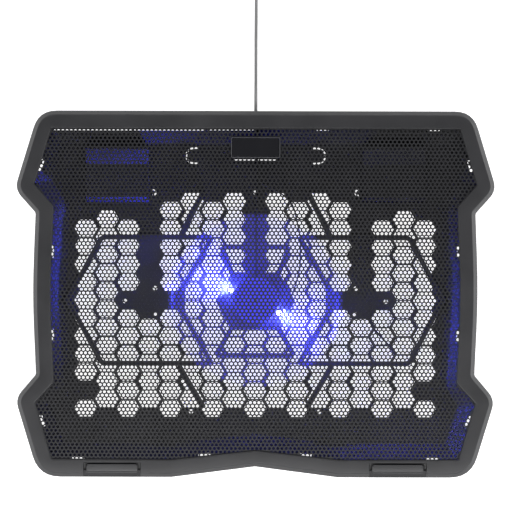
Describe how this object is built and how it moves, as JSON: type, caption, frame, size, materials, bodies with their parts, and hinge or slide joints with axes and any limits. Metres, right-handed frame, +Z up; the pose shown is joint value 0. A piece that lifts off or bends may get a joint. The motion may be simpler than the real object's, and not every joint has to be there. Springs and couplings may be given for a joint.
{
  "type": "laptop cooling pad",
  "caption": "Notched laptop cooling pad: perforated steel top in a plastic frame, honeycomb tray, lit fan, fold-out rear legs, flip-up front stoppers and USB power lead.",
  "frame": {"origin": "on the table under the middle of the pad, without its lead", "axes": "+X to the right along the long side, +Y to the rear where the lead leaves, +Z up through the mesh"},
  "size_m": [0.3824, 0.4375, 0.028],
  "materials": {
    "frame_plastic": "fine satin texture, dark grey",
    "black_plastic": "satin moulded black",
    "gloss_black": "glossy black",
    "black_steel": "black powder coat, perforated sheet",
    "rubber": "matt black",
    "steel": "bright zinc",
    "plug_steel": "nickel plated",
    "brass": "sintered",
    "nylon": "natural",
    "ferrite": "dull pressed",
    "board_green": "solder resist",
    "clear_blue": "clear, lit blue",
    "led_lens": "clear lens, lit blue",
    "grey_jacket": "soft grey jacket",
    "black_jacket": "soft black jacket"
  },
  "bodies": {
    "pad": {"top_frame": "frame_plastic", "mesh_grille": "black_steel", "emblem_plate": "gloss_black", "bottom_shell": "black_plastic", "foot_front_left": "rubber", "foot_front_right": "rubber", "foot_rear_left": "rubber", "foot_rear_right": "rubber", "fan_base": "black_plastic", "bearing_sleeve": "brass", "fan_board": "board_green", "stator": "steel", "led_left": "led_lens", "led_right": "led_lens", "fan_screw_1": "steel", "fan_screw_2": "steel", "fan_screw_3": "steel", "leg_pin_left": "steel", "leg_pin_right": "steel", "stopper_pin_left": "black_steel", "stopper_pin_right": "black_steel", "lead_grommet": "rubber", "fan_lead": "black_jacket", "light_lead": "black_jacket", "usb_lead": "grey_jacket", "lead_coil": "grey_jacket", "lead_tie": "rubber", "plug_body": "black_jacket", "plug_shell": "plug_steel"},
    "rotor": {"impeller": "clear_blue", "rotor_magnet": "ferrite", "rotor_shaft": "steel", "shaft_clip": "nylon"},
    "leg_left": {"leg_left": "frame_plastic", "leg_cap_left": "rubber"},
    "leg_right": {"leg_right": "frame_plastic", "leg_cap_right": "rubber"},
    "stopper_left": {"stopper_left": "gloss_black"},
    "stopper_right": {"stopper_right": "gloss_black"}
  },
  "joints": [
    {"name": "fan_spin", "type": "hinge", "parent": "pad", "child": "rotor", "pos_m": [0, -0.0056, 0.0162], "axis": [0, 0, 1], "continuous": true},
    {"name": "leg_left_fold", "type": "hinge", "parent": "pad", "child": "leg_left", "pos_m": [-0.111, 0.108, 0.0061], "axis": [1, 0, 0], "range_deg": [0, 105]},
    {"name": "leg_right_fold", "type": "hinge", "parent": "pad", "child": "leg_right", "pos_m": [0.111, 0.108, 0.0061], "axis": [1, 0, 0], "range_deg": [0, 105]},
    {"name": "stopper_left_flip", "type": "hinge", "parent": "pad", "child": "stopper_left", "pos_m": [-0.1144, -0.1418, 0.0262], "axis": [1, 0, 0], "range_deg": [0, 90]},
    {"name": "stopper_right_flip", "type": "hinge", "parent": "pad", "child": "stopper_right", "pos_m": [0.1144, -0.1418, 0.0262], "axis": [1, 0, 0], "range_deg": [0, 90]}
  ]
}
